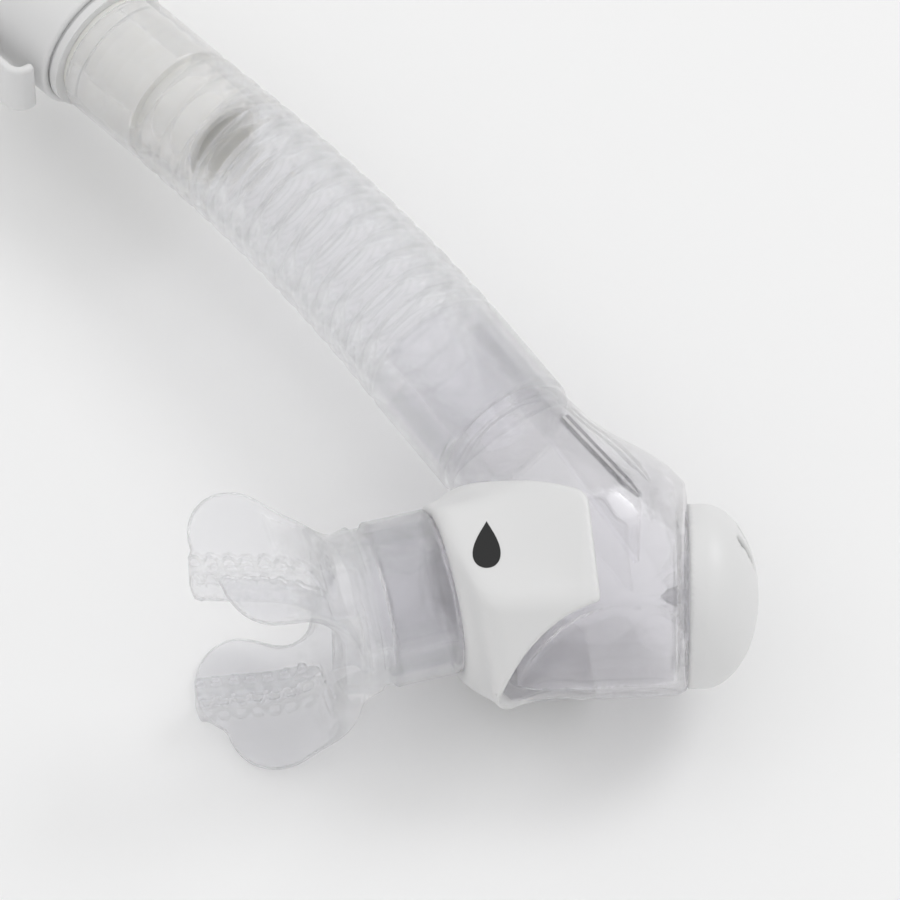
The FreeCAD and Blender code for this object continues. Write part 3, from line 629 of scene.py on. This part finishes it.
def centreline(s):
    """Point and direction of the hose's centreline, mm from the crossing of the axes."""
    length = BEND_END - BEND_START
    radius = length / BEND_ANGLE
    angle = BEND_ANGLE * min(max((s - BEND_START) / length, 0.0), 1.0)
    past = max(s - BEND_END, 0.0)
    x = min(s, BEND_START) + radius * math.sin(angle) + past * math.cos(angle)
    y = radius * (1 - math.cos(angle)) + past * math.sin(angle)
    return np.array([x, y, 0.0]), angle


# ---------------------------------------------------------------- materials
def linear(hex_code):
    """sRGB hex to linear RGBA."""
    out = []
    for k in (0, 2, 4):
        c = int(hex_code[k:k + 2], 16) / 255
        out.append(c / 12.92 if c <= 0.04045 else ((c + 0.055) / 1.055) ** 2.4)
    return (*out, 1.0)


def add_node(tree, kind, settings=(), links=()):
    """A node with its settings and its input links, each (input, node, output)."""
    node = tree.nodes.new(kind)
    for key, value in dict(settings).items():
        if key in node.inputs:
            node.inputs[key].default_value = value
        else:
            setattr(node, key, value)
    for socket, source, output in links:
        tree.links.new(source.outputs[output], node.inputs[socket])
    return node


def new_material(name, settings):
    """A material with one Principled shader, and that shader."""
    material = bpy.data.materials.new(name)
    material.use_nodes = True
    tree = material.node_tree
    tree.nodes.clear()
    shader = add_node(tree, "ShaderNodeBsdfPrincipled", settings)
    add_node(tree, "ShaderNodeOutputMaterial", {}, [("Surface", shader, "BSDF")])
    return material, tree, shader


def grain(tree, shader, size_mm, height_mm, roughness):
    """Surface grain of a real size, with a little change of roughness over it."""
    place = add_node(tree, "ShaderNodeTexCoord")
    noise = add_node(tree, "ShaderNodeTexNoise", {"Scale": 1000.0 / size_mm, "Detail": 3.0},
                     [("Vector", place, "Object")])
    bump = add_node(tree, "ShaderNodeBump", {"Strength": 1.0, "Distance": height_mm * MM},
                    [("Height", noise, "Fac")])
    low, high = roughness
    spread = add_node(tree, "ShaderNodeMapRange", {"To Min": low, "To Max": high},
                      [("Value", noise, "Fac")])
    tree.links.new(bump.outputs["Normal"], shader.inputs["Normal"])
    tree.links.new(spread.outputs["Result"], shader.inputs["Roughness"])


def cast_silicone():
    """Liquid silicone, injection moulded: clear but milky, with a soft skin that blurs gloss."""
    colours = bpy.context.scene.snorkel_colours
    material, tree, shader = new_material("liquid_silicone_moulded", {
        "Base Color": linear(colours.silicone), "Transmission Weight": 0.86, "IOR": 1.41,
        "Alpha": 0.5, "Specular IOR Level": 0.6})
    grain(tree, shader, 7.0, 0.05, (0.05, 0.16))
    return material


def clear_polycarbonate():
    """Polycarbonate from a polished mould: hard bright gloss, faint violet, slow flow ripples."""
    colours = bpy.context.scene.snorkel_colours
    material, tree, shader = new_material("polycarbonate_polished", {
        "Base Color": linear(colours.clear), "Transmission Weight": 1.0, "IOR": 1.58,
        "Alpha": 0.32})
    grain(tree, shader, 14.0, 0.06, (0.0, 0.04))
    return material


def white_abs():
    """ABS from a fine-spark mould: even white with a low satin sheen."""
    colours = bpy.context.scene.snorkel_colours
    material, tree, shader = new_material("abs_moulded_satin", {
        "Base Color": linear(colours.white), "IOR": 1.5, "Subsurface Weight": 0.15,
        "Subsurface Radius": (1.0, 0.95, 0.9), "Subsurface Scale": 0.002})
    grain(tree, shader, 0.9, 0.006, (0.32, 0.42))
    return material


def tube_abs():
    """The same ABS as extruded tube: smoother, with long faint draw lines."""
    material, tree, shader = new_material("abs_extruded", {
        "Base Color": linear("F3F2EC"), "IOR": 1.5, "Subsurface Weight": 0.4,
        "Subsurface Radius": (1.0, 0.95, 0.85), "Subsurface Scale": 0.003})
    grain(tree, shader, 3.0, 0.008, (0.26, 0.34))
    return material


def pad_print():
    """Pad-printed ink: thin, dead black and slightly glossy."""
    material, tree, shader = new_material("ink_pad_printed", {
        "Base Color": linear(bpy.context.scene.snorkel_colours.print_black), "IOR": 1.5})
    grain(tree, shader, 0.6, 0.002, (0.30, 0.40))
    return material


def painted_shade_edge():
    """Painted shade: near-black colour for the polished edge of a clear plate, which only looks
    nearly black because light is carried away inside it.
    """
    material, tree, shader = new_material("polycarbonate_edge_painted_shade", {
        "Base Color": linear("17141F"), "IOR": 1.58})
    grain(tree, shader, 3.0, 0.004, (0.12, 0.2))
    return material


def soft_seal(name, hex_code, rough):
    """Moulded elastomer: matt, with a dry bloom."""
    material, tree, shader = new_material(name, {"Base Color": linear(hex_code), "IOR": 1.48})
    grain(tree, shader, 0.7, 0.006, rough)
    return material


def turned_steel():
    """Stainless steel, turned: bright with fine tool marks."""
    material, tree, shader = new_material("stainless_turned", {
        "Base Color": linear("C9C9C7"), "Metallic": 1.0})
    grain(tree, shader, 0.4, 0.002, (0.22, 0.32))
    return material


def paint(piece, material):
    piece.data.materials.clear()
    piece.data.materials.append(material)


def repaint(node, material):
    """Give a CAD node a material without touching its mesh."""
    target = frame["nodes"][node]
    for slot in target.material_slots:
        slot.link = "OBJECT"
        slot.material = material


# ---------------------------------------------------------------- operators
class SNORKEL_OT_chamber(bpy.types.Operator):
    """Build the clear chamber, its white cover and the purge cap"""
    bl_idname = "snorkel.chamber"
    bl_label = "Chamber"

    def execute(self, context):
        pieces = [
            ("clear_chamber", chamber_shell_field, "chamber_shell", "clear_polycarbonate",
             clear_polycarbonate()),
            ("white_body_cover", body_cover_field, "body_cover", "white_abs", white_abs()),
            ("white_purge_cap", purge_cap_field, "purge_cover", "white_abs", white_abs()),
        ]
        for name, field, node, slot, material in pieces:
            piece = moulded_piece(name, field, node)
            paint(piece, material)
            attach(piece, "chamber")
            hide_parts(node)
        return {"FINISHED"}


def drop_outline(count=48):
    """A water drop, point up, one unit high."""
    turn = np.linspace(0.0, 2 * math.pi, count, endpoint=False)
    width = 0.36 * np.sin(turn) * np.sin(turn / 2) ** 1.3
    return np.stack([width, 0.5 * np.cos(turn)], axis=1)


class SNORKEL_OT_print(bpy.types.Operator):
    """Lay the printed water drop on the white cover"""
    bl_idname = "snorkel.print"
    bl_label = "Printed drop"

    def execute(self, context):
        outline = drop_outline() * DROP_HEIGHT
        tip = unit(DROP_TIP)
        across = np.array([-tip[1], tip[0], 0.0])
        centre = np.array(DROP_AT)
        flat = [np.array([[0.0, 0.0]])] + [outline * k for k in DROP_RINGS]
        flat = np.concatenate(flat)
        points = centre + flat[:, :1] * across + flat[:, 1:] * tip + np.array([0.0, 0.0, 22.0])
        wall = context.scene.snorkel_sizes.cover_wall / MM
        lift = GAP + wall + 0.04

        def skin(p):
            return chamber_form(p) - lift

        for _ in range(12):
            points[:, 2] -= skin(points) / np.maximum(slope_of(skin, points)[:, 2], 0.3)
        count = len(outline)
        k = np.arange(count)
        faces = [[0, 1 + i, 1 + (i + 1) % count] for i in range(count)]
        for ring in range(len(DROP_RINGS) - 1):
            a, b = 1 + ring * count, 1 + (ring + 1) * count
            after = (k + 1) % count
            faces += np.stack([a + k, b + k, b + after, a + after], axis=1).tolist()
        piece = mesh_piece("printed_drop", points, faces)
        paint(piece, pad_print())
        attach(piece, "chamber")
        return {"FINISHED"}


class SNORKEL_OT_mouthpiece(bpy.types.Operator):
    """Build the silicone mouthpiece"""
    bl_idname = "snorkel.mouthpiece"
    bl_label = "Mouthpiece"

    def execute(self, context):
        piece = moulded_piece("silicone_mouthpiece", mouthpiece_field, "mouthpiece", 0.7)
        paint(piece, cast_silicone())
        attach(piece, "chamber")
        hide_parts("mouthpiece")
        return {"FINISHED"}


def hose_rings(sizes):
    """(distance, radius) round the hose's wall: out over the skin and back along the bore."""
    lower, upper = sizes.hose_radius / MM, sizes.upper_radius / MM
    depth = sizes.rib_depth / MM

    def crest(s):
        t = min(max((s - RIBS_START) / (RIBS_END - RIBS_START), 0.0), 1.0)
        return lower + (upper - lower) * t

    def groove(s, width):
        turn = (s - RIBS_START - FIRST_GROOVE + RIB_PITCH / 2) % RIB_PITCH - RIB_PITCH / 2
        inside = RIBS_START - 2.0 < s < RIBS_END + 2.0
        return math.exp(-(turn / width) ** 2) if inside else 0.0

    outer = []
    step = RIB_PITCH / 14
    for s in np.arange(HOSE_START + HOSE_EDGE_R, HOSE_END - HOSE_EDGE_R, step):
        outer.append((s, crest(s) - depth * groove(s, GROOVE_WIDTH)))
    quarter = np.linspace(0.0, math.pi / 2, 5)
    edge = HOSE_EDGE_R
    first = [(HOSE_START + edge - edge * math.cos(a), crest(0) - edge + edge * math.sin(a))
             for a in quarter]
    last = [(HOSE_END - edge + edge * math.sin(a), upper - edge + edge * math.cos(a))
            for a in quarter]
    inner = []
    for s in np.arange(HOSE_END, HOSE_START, -step):
        if s > TUBE_START + COLLAR_STEP + 15.6:
            r = TUBE_R + 0.05
        elif s > TUBE_START + COLLAR_STEP - 0.4:
            r = BARB_ROOM_R
        elif s > SPIGOT_END + 1.5:
            r = crest(s) - depth - 1.5 + 0.5 * (1.0 - groove(s, FOLD_WIDTH))
        else:
            r = SPIGOT_R + 0.05
        inner.append((s, r))
    return first + outer + last + inner


class SNORKEL_OT_divider(bpy.types.Operator):
    """Build the divider's edge inside the neck as painted strips: a near-black painted shade with a
    white painted highlight along its middle
    """
    bl_idname = "snorkel.divider"
    bl_label = "Divider edge"

    def execute(self, context):
        for name, half, lift, material in (
                # painted shade: a near-black strip where the clear divider's edge looks dark
                ("divider_edge_painted_shade", 1.1, 0.0, painted_shade_edge()),
                # painted highlight: a thin white strip along the middle of the clear divider's dark
                # edge
                ("divider_edge_painted_highlight", 0.28, 0.15, white_abs())):
            points, faces = [], []
            for i, (x, z) in enumerate(DIVIDER_EDGE):
                wide = half * (0.25 if i == 0 else 1.0)
                for y, drop in ((-wide, DIVIDER_DEPTH), (-wide, 0.0),
                                (wide, 0.0), (wide, DIVIDER_DEPTH)):
                    points.append((x, DIVIDER_AT + y, z + lift - drop))
            last = 4 * len(DIVIDER_EDGE) - 4
            for a in range(0, last, 4):
                b = a + 4
                faces += [(a + k, a + (k + 1) % 4, b + (k + 1) % 4, b + k) for k in range(4)]
            faces += [(3, 2, 1, 0), tuple(last + k for k in range(4))]
            piece = mesh_piece(name, np.array(points), faces)
            piece.data.shade_flat()
            paint(piece, material)
            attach(piece, "chamber")
        return {"FINISHED"}


class SNORKEL_OT_hose(bpy.types.Operator):
    """Build the ribbed silicone hose, which bends between chamber and tube"""
    bl_idname = "snorkel.hose"
    bl_label = "Ribbed hose"

    def execute(self, context):
        piece = tube_mesh("ribbed_hose", hose_rings(context.scene.snorkel_sizes))
        paint(piece, cast_silicone())
        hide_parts("flexible_hose")
        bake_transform(piece)
        return {"FINISHED"}


class SNORKEL_OT_strap_clip(bpy.types.Operator):
    """Build the rounded strap clip"""
    bl_idname = "snorkel.strap_clip"
    bl_label = "Strap clip"

    def execute(self, context):
        piece = moulded_piece("rounded_strap_clip", strap_clip_field, "strap_clip", 0.6)
        paint(piece, white_abs())
        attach(piece, "clip")
        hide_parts("strap_clip")
        return {"FINISHED"}


class SNORKEL_OT_finishes(bpy.types.Operator):
    """Give the CAD parts that stay in view their real finishes and softened edges"""
    bl_idname = "snorkel.finishes"
    bl_label = "Finishes"

    def execute(self, context):
        white = white_abs()
        clear = clear_polycarbonate()
        foam = soft_seal("polystyrene_float", "EDEBE4", (0.5, 0.6))
        dark = soft_seal("nitrile_seal", "141416", (0.5, 0.65))
        pale = soft_seal("silicone_seal_white", "DEDDD8", (0.4, 0.55))
        steel = turned_steel()
        finishes = {
            "chamber_divider": clear, "purge_seat": white, "purge_flap": cast_silicone(),
            "purge_seal": pale, "top_seal": dark, "upper_tube": tube_abs(), "keeper_sleeve": white,
            "top_base": white, "top_cap": white, "cap_screws": steel, "float_pin": steel,
            "float_arm": white, "valve_pad": pale, "float_shell": foam, "float_lid": foam,
        }
        for node, material in finishes.items():
            repaint(node, material)
        for node in ("keeper_sleeve", "top_base", "top_cap", "float_arm", "purge_seat"):
            bevel = frame["nodes"][node].modifiers.new("softened_edges", "BEVEL")
            bevel.width = 0.25 * MM
            bevel.segments = 2
            bevel.limit_method = "ANGLE"
            bevel.angle_limit = math.radians(35.0)
        return {"FINISHED"}


class SNORKEL_OT_stage(bpy.types.Operator):
    """Set the pale floor, the soft light and the camera"""
    bl_idname = "snorkel.stage"
    bl_label = "Studio"

    def execute(self, context):
        scene = context.scene
        mesh = bpy.data.meshes.new("floor")
        corners = [(x * FLOOR_HALF, y * FLOOR_HALF, 0)
                   for x, y in ((-1, -1), (1, -1), (1, 1), (-1, 1))]
        mesh.from_pydata(corners, [], [(0, 1, 2, 3)])
        floor = bpy.data.objects.new("floor", mesh)
        scene.collection.objects.link(floor)
        paint(floor, studio_floor())
        world = bpy.data.worlds.new("studio")
        world.use_nodes = True
        tree = world.node_tree
        place = add_node(tree, "ShaderNodeTexCoord")
        parts = add_node(tree, "ShaderNodeSeparateXYZ", {}, [("Vector", place, "Generated")])
        rise = add_node(tree, "ShaderNodeMapRange", SKY, [("Value", parts, "Z")])
        sky = tree.nodes["Background"].inputs
        sky["Color"].default_value = (1.0, 1.0, 1.0, 1.0)
        tree.links.new(rise.outputs["Result"], sky["Strength"])
        scene.world = world
        hub = Vector(HUB)
        for name, place, size, power in SOFTBOXES:
            light = bpy.data.lights.new(name, "AREA")
            light.shape = "DISK"
            light.size = size
            light.energy = power
            lamp = bpy.data.objects.new(name, light)
            lamp.location = hub + Vector(place)
            lamp.rotation_euler = (-Vector(place)).to_track_quat("-Z", "Y").to_euler()
            scene.collection.objects.link(lamp)
        turn, tilt = math.radians(CAMERA_TURN), math.radians(CAMERA_TILT)
        look = Vector((math.cos(tilt) * math.cos(turn), math.cos(tilt) * math.sin(turn),
                       -math.sin(tilt)))
        right = look.cross(Vector((0, 0, 1))).normalized()
        up = right.cross(look)
        camera_data = bpy.data.cameras.new("camera")
        camera_data.lens = CAMERA_LENS
        camera_data.sensor_width = 36.0
        camera_data.clip_end = 20.0
        camera = bpy.data.objects.new("camera", camera_data)
        centre = hub - right * CAMERA_LEFT + up * CAMERA_UP
        camera.location = centre - look * CAMERA_DISTANCE
        camera.rotation_mode = "QUATERNION"
        camera.rotation_quaternion = look.to_track_quat("-Z", "Y")
        scene.collection.objects.link(camera)
        scene.camera = camera
        scene.view_settings.view_transform = "Standard"
        return {"FINISHED"}


def studio_floor():
    """Matt paper sweep: pale and even, with a barely seen tooth."""
    material, tree, shader = new_material("paper_sweep", {
        "Base Color": linear(bpy.context.scene.snorkel_colours.floor), "Specular IOR Level": 0.1})
    grain(tree, shader, 2.0, 0.01, (0.85, 0.95))
    return material


class SNORKEL_PT_panel(bpy.types.Panel):
    """Lists the snorkel's pieces and sizes"""
    bl_idname = "SNORKEL_PT_panel"
    bl_label = "Snorkel"
    bl_space_type = "VIEW_3D"
    bl_region_type = "UI"
    bl_category = "Snorkel"

    def draw(self, context):
        for group in (context.scene.snorkel_sizes, context.scene.snorkel_colours):
            for name in group.__annotations__:
                self.layout.prop(group, name)
        for operator in OPERATORS:
            self.layout.operator(operator.bl_idname)


OPERATORS = [
    SNORKEL_OT_chamber, SNORKEL_OT_divider, SNORKEL_OT_print, SNORKEL_OT_mouthpiece,
    SNORKEL_OT_hose, SNORKEL_OT_strap_clip, SNORKEL_OT_finishes, SNORKEL_OT_stage,
]
CLASSES = [SnorkelSizes, SnorkelColours] + OPERATORS + [SNORKEL_PT_panel]


def register():
    for item in CLASSES:
        bpy.utils.register_class(item)
    bpy.types.Scene.snorkel_sizes = bpy.props.PointerProperty(type=SnorkelSizes)
    bpy.types.Scene.snorkel_colours = bpy.props.PointerProperty(type=SnorkelColours)


def unregister():
    del bpy.types.Scene.snorkel_sizes
    del bpy.types.Scene.snorkel_colours
    for item in reversed(CLASSES):
        bpy.utils.unregister_class(item)


def main():
    register()
    bpy.ops.snorkel.chamber()
    bpy.ops.snorkel.divider()
    bpy.ops.snorkel.print()
    bpy.ops.snorkel.mouthpiece()
    bpy.ops.snorkel.hose()
    bpy.ops.snorkel.strap_clip()
    bpy.ops.snorkel.finishes()
    bpy.ops.snorkel.stage()


if __name__ == "__main__":
    main()
